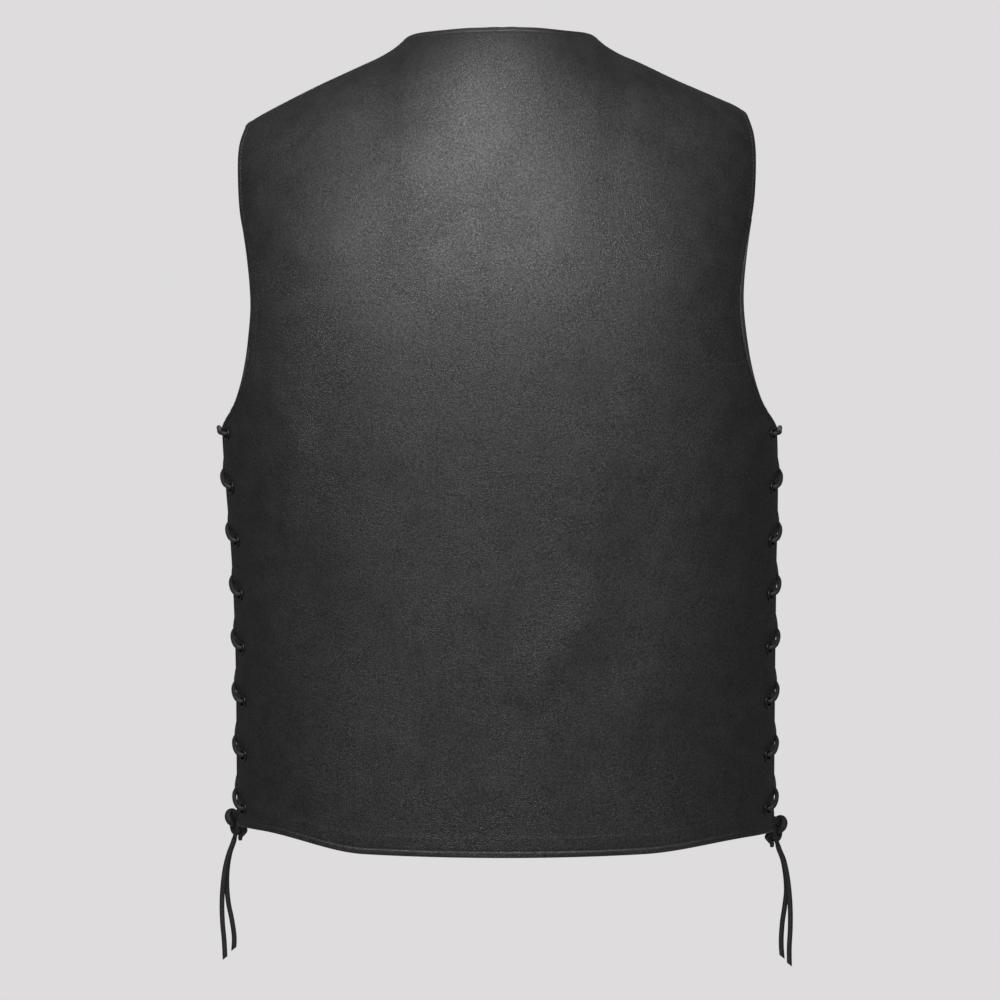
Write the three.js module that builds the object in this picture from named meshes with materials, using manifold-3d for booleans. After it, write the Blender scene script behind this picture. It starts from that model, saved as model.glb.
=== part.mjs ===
// A side-laced leather vest in its worn shape with no wearer: a one-piece back, two fronts that overlap and
// close with press studs, and a criss-cross lace down each side, tied in a knot below the last eyelets.
// Millimetres. +Z is up, the front faces -Y and the wearer's left is +X. The origin lies midway between the
// shoulders, level with the points where the shoulder line meets the neck.
import * as THREE from "three";
import { mergeVertices } from "three/addons/utils/BufferGeometryUtils.js";
import Module from "manifold-3d";

const wasm = await Module();
wasm.setup();

// Driving dimensions
const WALL = 1.8; // leather with its turned edges
const CHEST = -302; // height of the armpits, where the side openings end
const SEAM_GAP = 0.5;
const SHOULDER_SEAM_FORWARD = 15; // the shoulder seam lies this far in front of the shoulder ridge
const NECK_HALF_WIDTH = 76.5;
const NECK_TO_NAPE = 67; // from the shoulder ridge back to the middle of the back neck
const SHOULDER_LEAN = 0.02; // the left shoulder hangs lower by this share of the distance across
const LEAN_FADE = 250; // the lean has faded out this far below the shoulders
const SWAY = { shoulders: 5, hem: -2.2, half: 210 }; // sideways shift at the armholes and at the hem's ends
const SWAY_FROM = -460;
const SWAY_TO = -200;
const OVERLAP_HALF = 15; // each front reaches this far past the middle
const OVERLAP_LIFT = 5; // the left front stands this far out over the right one
const LIFT_FULL = 19; // the lift is whole up to here from the middle
const LIFT_END = 62; // the lift has faded out this far from the middle
const V_NECK_SHARE = 4 / 13; // the V ends at this share of the rows between armpit and shoulder

const SIDE_GAP_HALF = 16; // half of the laced opening between back and front
const EYELET_DEPTH = 33.5; // eyelets lie this far behind or in front of the side line
const EYELET_COUNT = 8;
const TOP_EYELET = -308.3;
const EYELET_PITCH = 43.2;
const EYELET_HOLE = 3.2;
const EYELET_BARREL = 3.8;
const EYELET_LIP = 4;
const EYELET_FLANGE = 5.3;
const FLANGE_THICKNESS = 0.8;
const BARREL_STANDS_OUT = 0.6; // behind the leather
const EYELET_SIDES = 8;
const EYELET_TWIST = 0.37; // radians that each eyelet is set further round than the one above
const RING_TWIST = 0.09; // radians that each line round an eyelet is turned past the one before
const HOLE_PLAY = 0.5;
const REST_GAP = 0.6; // hardware stays this far from the leather that it sits on
const END_GAP = 0.3; // between two lengths of the same lace

const LACE = 3.6; // thickness of the lace
const LACE_SIDES = 6;
const END_SIDES = 8;
const TIP_CUT = 38; // degrees off square at the cut ends
const LOOP_RADIUS = 4.8; // the lace turns through an eyelet on this radius
const EDGE_CLEARANCE = 3.25; // from the middle of a panel's wall to the middle of the lace at its edge
const CROSSING_OFFSET = 2.1; // the two strands cross this far out and in from the side line
const CROSSING_INWARD = 2.7; // the crossings are drawn in by this much between the edges
const KNOT_THICKNESS = 4; // the lace swells where it is knotted
const KNOT_STEPS = 26;
const KNOT_REACH = 3.4; // size of the turns in the knot
const KNOT_WEAVE = 3; // how far they pass over and under each other

const SNAP_HEIGHTS = [-256, -359, -462, -565];
const SNAP_CAP_RADIUS = 7.5;
const SNAP_SOCKET_RADIUS = 4.2;
const SNAP_BASE_RADIUS = 4.6;
const SNAP_STUD_RADIUS = 3.8;
const SNAP_POST = 2;
const SNAP_SIDES = 12;

// Half-width, depths behind and in front, and squareness of the ring at each height
const GIRTH = [
  { z: -665, width: 218.8, back: 119, front: 124, square: 2.02 },
  { z: -540, width: 219.2, back: 118, front: 124, square: 2.02 },
  { z: -420, width: 221.2, back: 122, front: 129, square: 2.05 },
  { z: -302, width: 225.4, back: 129, front: 135, square: 2.1 },
  { z: -190, width: 217, back: 133, front: 134, square: 2.25 },
  { z: -100, width: 215, back: 132, front: 126, square: 2.3 },
  { z: 60, width: 215, back: 132, front: 120, square: 2.3 },
];

// Height of the shoulder ridge by its distance from the middle, with the rise towards the neck
const RIDGE = [
  { x: 0, z: 45.5 },
  { x: 30, z: 38.5 },
  { x: 60, z: 23 },
  { x: 75, z: 14 },
  { x: 85, z: 5.5 },
  { x: 97, z: -1.6 },
  { x: 112, z: -8.3 },
  { x: 145, z: -23 },
  { x: 180, z: -38.8 },
  { x: 196, z: -47 },
  { x: 210, z: -58 },
];

// Half-width between the armholes by the share of the height from armpit to shoulder
const ARMHOLE = [
  { rise: 0, back: 224.4, front: 224.4 },
  { rise: 0.03, back: 219, front: 217 },
  { rise: 0.09, back: 209, front: 205 },
  { rise: 0.17, back: 200.8, front: 194 },
  { rise: 0.27, back: 195.2, front: 186 },
  { rise: 0.4, back: 192.9, front: 180 },
  { rise: 0.55, back: 198.5, front: 180 },
  { rise: 0.7, back: 206, front: 186 },
  { rise: 0.84, back: 208.6, front: 192 },
  { rise: 0.94, back: 207.8, front: 199 },
  { rise: 1, back: 202.5, front: 200.5 },
];

// The hem: its height in the middle, its even curve, and its rise towards each side
const HEM = {
  back: { middle: -642, curve: 4.8, left: 11, right: 6 },
  front: { middle: -637, curve: 4, left: 6.5, right: 2 },
};
const HEM_RISE_FROM = 110;
const HEM_RISE_TO = 195;

// How far the shoulder rounds over, behind and in front
const CROWN = { back: 2.4, front: 2.2 };
const OUTWARD = { back: 1, front: -1 };

// Counts of rows and columns in the panels' walls
const HANGING_ROWS = 9;
const SHOULDER_ROWS = 13;
const NECK_COLUMNS = 5;
const SHOULDER_COLUMNS = 8;
const FRONT_COLUMNS = 12;
const NECK_SHARE = 0.42; // share of the half back that runs up to the neck
const BACK_BEND = 1.4; // how late the back's columns turn in towards the neck
const NECK_BEND = 1.08; // how much the V's edges bow
const EDGE_PULL = 4; // how near to the armhole the columns follow it
const DRILL = { length: 14, sides: 10 };

const LEATHER = new THREE.MeshStandardMaterial({ color: 0x2b2c2d, roughness: 0.55, metalness: 0 });
const LACE_LEATHER = new THREE.MeshStandardMaterial({ color: 0x1d1e1f, roughness: 0.5, metalness: 0 });
const BLACK_METAL = new THREE.MeshStandardMaterial({ color: 0x232426, roughness: 0.35, metalness: 0.9 });

const degrees = THREE.MathUtils.degToRad;
const lerp = THREE.MathUtils.lerp;
const smoothstep = THREE.MathUtils.smoothstep;
const signedPower = (value, power) => Math.sign(value) * Math.abs(value) ** power;

// The value of one column of a table, on a smooth curve through its rows
function along(table, key, column, at) {
  const last = table.length - 1;
  let i = 0;
  while (i < last - 1 && at > table[i + 1][key]) i++;
  const slope = (k) => {
    const before = table[Math.max(k - 1, 0)];
    const after = table[Math.min(k + 1, last)];
    return (after[column] - before[column]) / (after[key] - before[key]);
  };
  const step = table[i + 1][key] - table[i][key];
  const t = THREE.MathUtils.clamp((at - table[i][key]) / step, 0, 1);
  const climb = table[i + 1][column] - table[i][column];
  return table[i][column] + t * t * (3 - 2 * t) * climb
    + t * (1 - t) ** 2 * step * slope(i) - t * t * (1 - t) * step * slope(i + 1);
}

const ridgeHeight = (x) => along(RIDGE, "x", "z", Math.abs(x));

function girth(z) {
  const at = (column) => along(GIRTH, "z", column, z);
  return { width: at("width"), back: at("back"), front: at("front"), square: at("square") };
}

// How much of its full depth the ring has at a distance x from the middle
function depthShare(ring, x) {
  return Math.max(1 - (Math.abs(x) / ring.width) ** ring.square, 0) ** (1 / ring.square);
}

// The pose of the shown vest: one shoulder a little lower, and a little sideways sway
function posed(point) {
  const { x, z } = point;
  point.z -= SHOULDER_LEAN * x * smoothstep(z, -LEAN_FADE, 0);
  const sway = lerp(SWAY.hem, SWAY.shoulders, smoothstep(z, SWAY_FROM, SWAY_TO));
  point.x += sway * Math.abs(x) / SWAY.half;
  return point;
}

// A point of the hanging part of a sheet, at an angle from its middle towards the side
function ringPoint(sheet, z, angle) {
  const ring = girth(z);
  const x = ring.width * signedPower(Math.sin(angle), 2 / ring.square);
  const y = ring[sheet] * signedPower(Math.cos(angle), 2 / ring.square) * OUTWARD[sheet];
  return new THREE.Vector3(x, y, z);
}

// The angle at which the ring lies a given distance behind or in front of the side line
function angleAtDepth(sheet, z, depth) {
  const ring = girth(z);
  return Math.acos((depth / ring[sheet]) ** (ring.square / 2));
}

// A point over the shoulders: turn is 0 at the armpits' height, a quarter turn on the ridge, more beyond it
function shoulderPoint(sheet, x, turn) {
  if (turn > Math.PI / 2) return shoulderPoint(sheet === "back" ? "front" : "back", x, Math.PI - turn);
  const rise = Math.sin(turn) ** (2 / CROWN[sheet]);
  const z = CHEST + (ridgeHeight(x) - CHEST) * rise;
  const ring = girth(z);
  const depth = ring[sheet] * depthShare(ring, x) * Math.max(Math.cos(turn), 0) ** (2 / CROWN[sheet]);
  return new THREE.Vector3(x, depth * OUTWARD[sheet], z);
}

// A point of a sheet by its distance from the middle and its height
function sheetPoint(sheet, x, z) {
  const ring = girth(z);
  if (z < CHEST) return new THREE.Vector3(x, ring[sheet] * depthShare(ring, x) * OUTWARD[sheet], z);
  const rise = (z - CHEST) / (ridgeHeight(x) - CHEST);
  return shoulderPoint(sheet, x, Math.asin(rise ** (CROWN[sheet] / 2)));
}

// The turn at which the shoulder lies a given depth from the ridge
function turnAtDepth(sheet, x, depth) {
  const ring = girth(ridgeHeight(x));
  return Math.acos((depth / (ring[sheet] * depthShare(ring, x))) ** (CROWN[sheet] / 2));
}

// The share of the turn up to the shoulder at a row, closer together at both ends
function turnShare(sheet, row) {
  const rise = (1 - Math.cos(Math.PI * row)) / 2;
  return Math.asin(rise ** (CROWN[sheet] / 2)) / (Math.PI / 2);
}

function hemHeight(sheet, x) {
  const hem = HEM[sheet];
  const toSide = smoothstep(Math.abs(x), HEM_RISE_FROM, HEM_RISE_TO);
  return hem.middle + hem.curve * (x / HEM_RISE_TO) ** 2 + (x > 0 ? hem.left : hem.right) * toSide;
}

function armholeHalfWidth(sheet, turn) {
  const rise = turn > Math.PI / 2 ? 1 : Math.sin(turn) ** (2 / CROWN[sheet]);
  return along(ARMHOLE, "rise", sheet, rise);
}

// The hanging rows run from the hem up to the armpits
function hangingPoint(sheet, angleAt, row) {
  const foot = ringPoint(sheet, HEM[sheet].middle, angleAt(HEM[sheet].middle));
  const z = lerp(hemHeight(sheet, foot.x), CHEST, row);
  return ringPoint(sheet, z, angleAt(z));
}

// The upper end of a column of the back: the back neck, then the side of the neck, then the shoulder seam
function backTop(share) {
  const seamDepth = SHOULDER_SEAM_FORWARD - SEAM_GAP / 2;
  const neckRound = NECK_SHARE * (NECK_COLUMNS - 1) / NECK_COLUMNS;
  if (share <= neckRound) {
    const around = (share / neckRound) * (Math.PI / 2);
    const x = NECK_HALF_WIDTH * Math.sin(around);
    return { x, turn: turnAtDepth("back", x, NECK_TO_NAPE * Math.cos(around)) };
  }
  const seamTurn = (x) => Math.PI - turnAtDepth("front", x, seamDepth);
  if (share <= NECK_SHARE) {
    const forward = (share - neckRound) / (NECK_SHARE - neckRound);
    return { x: NECK_HALF_WIDTH, turn: lerp(Math.PI / 2, seamTurn(NECK_HALF_WIDTH), forward) };
  }
  const x = lerp(NECK_HALF_WIDTH, along(ARMHOLE, "rise", "front", 1), (share - NECK_SHARE) / (1 - NECK_SHARE));
  return { x, turn: seamTurn(x) };
}

// A point of the back: across is -1 at the left side and 1 at the right, up is 0 at the hem, 1 at the
// armpits' height and 2 at the top
function backPoint(across, up) {
  const angleAt = (z) => -across * angleAtDepth("back", z, SIDE_GAP_HALF);
  if (up <= 1) return posed(hangingPoint("back", angleAt, up));
  const share = Math.abs(across);
  const top = backTop(share);
  const climbed = turnShare("back", up - 1);
  const turn = top.turn * climbed;
  const bend = climbed ** BACK_BEND;
  const from = Math.abs(ringPoint("back", CHEST, angleAt(CHEST)).x);
  const corner = Math.abs(ringPoint("back", CHEST, angleAtDepth("back", CHEST, SIDE_GAP_HALF)).x);
  const tip = backTop(1).x;
  const edgeTurn = backTop(1).turn * climbed;
  const toEdge = armholeHalfWidth("back", edgeTurn) - lerp(corner, tip, bend);
  const edgeFade = edgeTurn > Math.PI / 2 ? 0 : 1;
  const x = lerp(from, top.x, bend) + toEdge * share ** EDGE_PULL * edgeFade;
  return posed(shoulderPoint("back", -Math.sign(across) * x, turn));
}

// A point of a front: across is 0 at its front and neck edge and 1 at the side and armhole
function frontPoint(side, across, up, lift) {
  const edgeAngle = (z) => -Math.asin((OVERLAP_HALF / girth(z).width) ** (girth(z).square / 2));
  const angleAt = (z) => side * lerp(edgeAngle(z), angleAtDepth("front", z, SIDE_GAP_HALF), across);
  if (up <= 1) return lifted(hangingPoint("front", angleAt, up), side, lift);
  const climbed = turnShare("front", up - 1);
  const neckShare = Math.max((up - 1 - V_NECK_SHARE) / (1 - V_NECK_SHARE), 0);
  const neckEdge = lerp(-OVERLAP_HALF, NECK_HALF_WIDTH, neckShare ** NECK_BEND);
  const seamAt = (x) => turnAtDepth("front", x, SHOULDER_SEAM_FORWARD + SEAM_GAP / 2);
  const topX = lerp(NECK_HALF_WIDTH, along(ARMHOLE, "rise", "front", 1), across);
  const turn = seamAt(topX) * climbed;
  const armhole = armholeHalfWidth("front", turn);
  const chestX = side * ringPoint("front", CHEST, angleAt(CHEST)).x;
  const ringShare = (chestX + OVERLAP_HALF) / (armholeHalfWidth("front", 0) + OVERLAP_HALF);
  const x = lerp(neckEdge, armhole, lerp(ringShare, across, climbed));
  return lifted(shoulderPoint("front", side * x, turn), side, lift);
}

// The left front stands out over the right one near the middle
function lifted(point, side, lift) {
  point.y -= lift * (1 - smoothstep(side * point.x, LIFT_FULL, LIFT_END));
  return posed(point);
}

// Rows and columns
const rows = [
  ...Array.from({ length: HANGING_ROWS }, (_, i) => i / HANGING_ROWS),
  ...Array.from({ length: SHOULDER_ROWS + 1 }, (_, i) => 1 + i / SHOULDER_ROWS),
];
const neckColumns = Array.from({ length: NECK_COLUMNS }, (_, i) => (i / NECK_COLUMNS) * NECK_SHARE);
const seamColumns = Array.from(
  { length: SHOULDER_COLUMNS + 1 },
  (_, i) => lerp(NECK_SHARE, 1, i / SHOULDER_COLUMNS),
);
const halfBack = [...neckColumns, ...seamColumns];
const backColumns = [...halfBack.slice(1).map((share) => -share).reverse(), ...halfBack];
const frontColumns = Array.from({ length: FRONT_COLUMNS + 1 }, (_, i) => i / FRONT_COLUMNS);

// A closed wall around a surface. Columns and rows run so that their cross product points out.
function wall(surface, columns) {
  const rowCount = rows.length;
  const columnCount = columns.length;
  const step = 1e-3;
  const most = (list, sign) => Math.max(...list.map((value) => value * sign)) * sign;
  const turned = Math.sign(columns[columnCount - 1] - columns[0]);
  const within = (list, at) => THREE.MathUtils.clamp(at, most(list, -1), most(list, 1));
  const positions = [];
  for (const offset of [WALL / 2, -WALL / 2]) {
    for (const up of rows) {
      for (const across of columns) {
        const after = surface(within(columns, across + step), up);
        const before = surface(within(columns, across - step), up);
        const above = surface(across, within(rows, up + step));
        const below = surface(across, within(rows, up - step));
        const normal = after.sub(before).cross(above.sub(below)).normalize().multiplyScalar(turned);
        positions.push(...surface(across, up).addScaledVector(normal, offset).toArray());
      }
    }
  }
  const outer = (j, i) => j * columnCount + i;
  const inner = (j, i) => outer(j, i) + rowCount * columnCount;
  const faces = [];
  const quad = (a, b, c, d) => faces.push(a, b, c, a, c, d);
  for (let j = 0; j < rowCount - 1; j++) {
    for (let i = 0; i < columnCount - 1; i++) {
      quad(outer(j, i), outer(j, i + 1), outer(j + 1, i + 1), outer(j + 1, i));
      quad(inner(j, i), inner(j + 1, i), inner(j + 1, i + 1), inner(j, i + 1));
    }
  }
  const right = columnCount - 1;
  const top = rowCount - 1;
  for (let j = 0; j < top; j++) {
    quad(outer(j, 0), outer(j + 1, 0), inner(j + 1, 0), inner(j, 0));
    quad(outer(j, right), inner(j, right), inner(j + 1, right), outer(j + 1, right));
  }
  for (let i = 0; i < right; i++) {
    quad(outer(0, i), inner(0, i), inner(0, i + 1), outer(0, i + 1));
    quad(outer(top, i), outer(top, i + 1), inner(top, i + 1), inner(top, i));
  }
  const geometry = new THREE.BufferGeometry();
  geometry.setAttribute("position", new THREE.Float32BufferAttribute(positions, 3));
  geometry.setIndex(faces);
  return geometry;
}

// A closed geometry as a solid that can be joined and cut, and back
function solidOf(geometry) {
  const bare = geometry.index ? geometry.clone() : geometry;
  bare.deleteAttribute("normal");
  bare.deleteAttribute("uv");
  const merged = mergeVertices(bare, 1e-3);
  return new wasm.Manifold(new wasm.Mesh({
    numProp: 3,
    vertProperties: new Float32Array(merged.attributes.position.array),
    triVerts: new Uint32Array(merged.index.array),
  }));
}

function geometryOf(solid) {
  const mesh = solid.getMesh();
  const geometry = new THREE.BufferGeometry();
  geometry.setAttribute("position", new THREE.BufferAttribute(mesh.vertProperties, 3));
  geometry.setIndex(new THREE.BufferAttribute(mesh.triVerts, 1));
  return geometry;
}

// The turn of the Y axis of a lathe or cylinder onto a direction
function turnTo(direction) {
  return new THREE.Quaternion().setFromUnitVectors(new THREE.Vector3(0, 1, 0), direction);
}

function drilled(geometry, places, radius) {
  let solid = solidOf(geometry);
  for (const { point, normal } of places) {
    const drill = new THREE.CylinderGeometry(radius, radius, DRILL.length, DRILL.sides);
    drill.applyQuaternion(turnTo(normal)).translate(point.x, point.y, point.z);
    solid = solid.subtract(solidOf(drill));
  }
  return geometryOf(solid);
}

// The laced sides. A place on a side is measured round the body from the side line, positive to the back,
// by height, and out from the middle of the leather.
function sidePlace(side, round, z, out) {
  const at = (depth) => {
    const sheet = depth < 0 ? "front" : "back";
    const point = ringPoint(sheet, z, angleAtDepth(sheet, z, Math.abs(depth)));
    point.x *= side;
    return posed(point);
  };
  const step = 0.5;
  const tangent = at(round + step).sub(at(round - step));
  const normal = new THREE.Vector3(tangent.y, -tangent.x, 0).multiplyScalar(side).normalize();
  return { point: at(round).addScaledVector(normal, out), normal };
}

const eyeletHeight = (k) => TOP_EYELET - k * EYELET_PITCH;
const eyeletPlace = (side, sheet, k) => sidePlace(side, OUTWARD[sheet] * EYELET_DEPTH, eyeletHeight(k), 0);
const eyeletLevels = Array.from({ length: EYELET_COUNT }, (_, k) => k);

// An eyelet: a flange on the leather and a barrel through it
function eyelet() {
  const under = WALL / 2 + REST_GAP;
  const foot = -WALL / 2 - BARREL_STANDS_OUT;
  const profile = [
    [EYELET_HOLE, foot],
    [EYELET_BARREL, foot],
    [EYELET_BARREL, under],
    [EYELET_FLANGE, under],
    [EYELET_LIP, under + FLANGE_THICKNESS],
    [EYELET_HOLE, foot],
  ];
  const ring = new THREE.LatheGeometry(profile.map(([r, y]) => new THREE.Vector2(r, y)), EYELET_SIDES);
  const positions = ring.getAttribute("position");
  const vertex = new THREE.Vector3();
  const axis = new THREE.Vector3(0, 1, 0);
  for (let i = 0; i < positions.count; i++) {
    const line = (i % profile.length) % (profile.length - 1);
    vertex.fromBufferAttribute(positions, i).applyAxisAngle(axis, line * RING_TWIST);
    positions.setXYZ(i, vertex.x, vertex.y, vertex.z);
  }
  return ring;
}

// The lace turns through an eyelet: in over the flange from one direction, out below in another
function eyeletTurn(side, sheet, k, from, to) {
  const sign = OUTWARD[sheet];
  const round = sign * EYELET_DEPTH;
  const z = eyeletHeight(k);
  const middle = 0.1;
  const diagonal = Math.SQRT1_2;
  const at = (way, share, out) =>
    sidePlace(side, round + sign * way.round * share, z + way.z * share, middle + out).point;
  return [
    at(from, LOOP_RADIUS, LOOP_RADIUS),
    at(from, LOOP_RADIUS * (1 - diagonal), LOOP_RADIUS * diagonal),
    at(from, 0, 0),
    at(to, LOOP_RADIUS * (1 - diagonal), -LOOP_RADIUS * diagonal),
    at(to, LOOP_RADIUS, -LOOP_RADIUS),
  ];
}

// One strand down a side, from the top eyelet of one sheet to the last eyelet, changing sheets each time
function strand(side, first, over) {
  const slant = Math.atan2(EYELET_PITCH, 2 * EYELET_DEPTH);
  const down = { round: -Math.cos(slant), z: -Math.sin(slant) };
  const fromAbove = { round: -Math.cos(slant), z: Math.sin(slant) };
  const fromBar = { round: -0.98, z: 0.2 };
  const inward = { round: -0.8, z: -0.6 };
  const points = [];
  for (const k of eyeletLevels) {
    const sheet = (k % 2 === 0) === (first === "back") ? "back" : "front";
    const sign = OUTWARD[sheet];
    const last = k === EYELET_COUNT - 1;
    points.push(...eyeletTurn(side, sheet, k, k === 0 ? fromBar : fromAbove, last ? inward : down));
    if (last) break;
    const edgeShare = (EYELET_DEPTH - SIDE_GAP_HALF) / (2 * EYELET_DEPTH);
    const heightAt = (share) => eyeletHeight(k) - share * EYELET_PITCH;
    const crossing = (k % 2 === 0) === over ? CROSSING_OFFSET : -CROSSING_OFFSET;
    points.push(
      sidePlace(side, sign * SIDE_GAP_HALF, heightAt(edgeShare), -EDGE_CLEARANCE).point,
      sidePlace(side, 0, heightAt(0.5), crossing - CROSSING_INWARD).point,
      sidePlace(side, -sign * SIDE_GAP_HALF, heightAt(1 - edgeShare), EDGE_CLEARANCE).point,
    );
  }
  return points;
}

// The knot hangs at the foot of the opening, and the lace comes to it from inside
const KNOT = {
  left: { z: -622.5, out: -0.5 },
  right: { z: -628, out: 0.8 },
};
const KNOT_ENTRY = { inward: 0.356, round: 0.814, up: 0.458 };
const KNOT_STUB = 10; // from the middle of the knot to where the held lace begins
const STUB_LENGTH = 8.5; // of the short lengths below it

function knotPlace(side) {
  const knot = side > 0 ? KNOT.left : KNOT.right;
  return sidePlace(side, 0, knot.z, knot.out);
}

// A point on the line by which the lace comes to the knot from one sheet
function knotEntry(side, sign, distance) {
  const away = new THREE.Vector3(-side * KNOT_ENTRY.inward, sign * KNOT_ENTRY.round, KNOT_ENTRY.up);
  return away.multiplyScalar(distance);
}

// Points along the lace from the last eyelet to the knot, on the inside
function runToKnot(side, sheet) {
  const sign = OUTWARD[sheet];
  const centre = knotPlace(side).point;
  return [
    sidePlace(side, sign * SIDE_GAP_HALF, eyeletHeight(EYELET_COUNT - 1) - 5.5, -4.2).point,
    knotEntry(side, sign, KNOT_STUB + 4).add(centre),
    knotEntry(side, sign, KNOT_STUB + END_GAP).add(centre),
  ];
}

// A tube whose rings lie exactly at the points of its route
function tube(points, thickness, sides) {
  const route = new THREE.CatmullRomCurve3(points, false, "centripetal");
  route.getPointAt = route.getPoint;
  route.getTangentAt = route.getTangent;
  route.getSpacedPoints = route.getPoints;
  const section = new THREE.Shape();
  for (let i = 0; i < sides; i++) {
    const angle = (i / sides) * 2 * Math.PI;
    const x = (thickness / 2) * Math.cos(angle);
    const y = (thickness / 2) * Math.sin(angle);
    if (i === 0) section.moveTo(x, y);
    else section.lineTo(x, y);
  }
  return new THREE.ExtrudeGeometry(section, { steps: points.length - 1, extrudePath: route });
}

// The whole held lace of a side: up one strand, over the bar at the top and down the other
function laceRoute(side) {
  const downBack = strand(side, "back", true);
  const downFront = strand(side, "front", false);
  const bar = [
    sidePlace(side, SIDE_GAP_HALF, TOP_EYELET + 3.4, EDGE_CLEARANCE + 0.4).point,
    sidePlace(side, 0, TOP_EYELET + 6, 3.2).point,
    sidePlace(side, -SIDE_GAP_HALF, TOP_EYELET + 3.4, EDGE_CLEARANCE + 0.4).point,
  ];
  const lastOf = (first) => ((EYELET_COUNT - 1) % 2 === 0) === (first === "back") ? "back" : "front";
  return [
    ...runToKnot(side, lastOf("back")).reverse(),
    ...downBack.reverse(),
    ...bar,
    ...downFront,
    ...runToKnot(side, lastOf("front")),
  ];
}

// The free ends: how far each point lies outside the knot, behind it and below its middle
const FREE_ENDS = {
  left: {
    outer: [[1.3, 2.1, 15], [2.3, 2.3, 18.5], [5.2, 2.6, 26], [8.4, 3, 38], [10.3, 3.2, 52], [11.2, 3, 67],
      [10.8, 2.6, 83], [9.4, 2.4, 99], [8.6, 2.4, 115.5]],
    inner: [[1.3, -2.1, 15], [2.2, -2.2, 18.5], [4.8, -2.4, 26], [7, -2.4, 38], [7.6, -2, 52], [6.4, -1.6, 67],
      [3.4, -1.6, 82], [1.6, -2, 96], [2.2, -2.4, 109]],
  },
  right: {
    outer: [[1.3, 2.1, 15], [2.4, 2.3, 18.5], [5.4, 2.6, 26], [7.8, 3, 38], [9.2, 3.2, 52], [10, 3, 67],
      [10, 2.6, 83], [9.2, 2.4, 99], [9.4, 2.4, 115.5]],
    inner: [[1.3, -2.1, 15], [2.3, -2.2, 18.5], [5, -2.4, 26], [6.9, -2.4, 38], [7.4, -2, 52], [6, -1.6, 65],
      [4, -1.6, 79], [3.2, -2, 95], [4.2, -2.4, 110]],
  },
};

// Points of a free end, measured from the middle of the knot
function freeEndRoute(side, which) {
  return FREE_ENDS[side > 0 ? "left" : "right"][which]
    .map(([outside, behind, below]) => new THREE.Vector3(side * outside, behind, -below));
}

// A free end, cut to a point
function freeEnd(side, which) {
  const centre = knotPlace(side).point;
  const points = freeEndRoute(side, which).map((point) => point.add(centre));
  const tip = points[points.length - 1];
  const cutter = new THREE.BoxGeometry(30, 30, 20).translate(0, 0, -10);
  cutter.rotateY(side * degrees(TIP_CUT)).translate(tip.x, tip.y, tip.z + 3.4);
  return geometryOf(solidOf(tube(points, LACE, END_SIDES)).subtract(solidOf(cutter)));
}

// A tight overhand knot with the short lengths by which the lace comes in and the free ends leave, measured
// from its middle
function knot(side) {
  const wound = new THREE.Curve();
  wound.getPoint = (t, target = new THREE.Vector3()) => {
    const a = t * 2 * Math.PI;
    return target.set(
      side * KNOT_REACH * 0.82 * (Math.sin(a) + 1.55 * Math.sin(2 * a)),
      KNOT_WEAVE * Math.sin(3 * a),
      KNOT_REACH * (Math.cos(a) - 1.9 * Math.cos(2 * a)),
    );
  };
  let solid = solidOf(new THREE.TubeGeometry(wound, KNOT_STEPS, KNOT_THICKNESS / 2, LACE_SIDES, true));
  const stub = (from, to) => {
    solid = solid.add(solidOf(tube([from, from.clone().lerp(to, 0.5), to], LACE, LACE_SIDES)));
  };
  for (const sign of [1, -1]) stub(knotEntry(side, sign, 1.5), knotEntry(side, sign, KNOT_STUB));
  for (const which of ["outer", "inner"]) {
    const [start, next] = freeEndRoute(side, which);
    const away = next.sub(start).normalize();
    stub(start.clone().addScaledVector(away, -STUB_LENGTH), start.clone().addScaledVector(away, -END_GAP));
  }
  return geometryOf(solid);
}

// Press studs. The cap's post goes through the left front and ends in the socket; the stud's post goes
// through the right front. Both lie on the line where the fronts overlap.
function frontPlace(side, height, lift) {
  const at = (x, z) => lifted(sheetPoint("front", x, z), side, lift);
  const step = 2;
  const across = at(step, height).sub(at(-step, height));
  const rising = at(0, height + step).sub(at(0, height - step));
  return { point: at(0, height), normal: across.cross(rising).normalize() };
}

function lathe(profile) {
  return new THREE.LatheGeometry(profile.map(([r, y]) => new THREE.Vector2(r, y)), SNAP_SIDES);
}

function snapCap() {
  const under = WALL / 2 + REST_GAP;
  return lathe([
    [0, -under - 0.8],
    [SNAP_SOCKET_RADIUS, -under - 0.8],
    [SNAP_SOCKET_RADIUS, -under],
    [SNAP_POST, -under],
    [SNAP_POST, under],
    [SNAP_CAP_RADIUS, under],
    [SNAP_CAP_RADIUS, under + 0.7],
    [SNAP_CAP_RADIUS * 0.72, under + 2],
    [0, under + 2.6],
  ]);
}

function snapStud() {
  const under = WALL / 2 + REST_GAP;
  return lathe([
    [0, -under - 0.7],
    [SNAP_BASE_RADIUS, -under - 0.7],
    [SNAP_BASE_RADIUS, -under],
    [SNAP_POST, -under],
    [SNAP_POST, under],
    [SNAP_STUD_RADIUS, under],
    [SNAP_STUD_RADIUS - 0.4, under + 0.7],
    [0, under + 0.7],
  ]);
}

const vest = new THREE.Group();

function add(name, geometry, material, place) {
  const mesh = new THREE.Mesh(geometry, material);
  mesh.name = name;
  if (place) {
    mesh.position.copy(place.point);
    mesh.quaternion.copy(turnTo(place.normal));
  }
  vest.add(mesh);
}

// Panels
const leftSnaps = SNAP_HEIGHTS.map((z) => frontPlace(1, z, OVERLAP_LIFT));
const rightSnaps = SNAP_HEIGHTS.map((z) => frontPlace(-1, z, 0));
const eyeletsOf = (side, sheet) => eyeletLevels.map((k) => eyeletPlace(side, sheet, k));
const hole = EYELET_BARREL + HOLE_PLAY;

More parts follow.
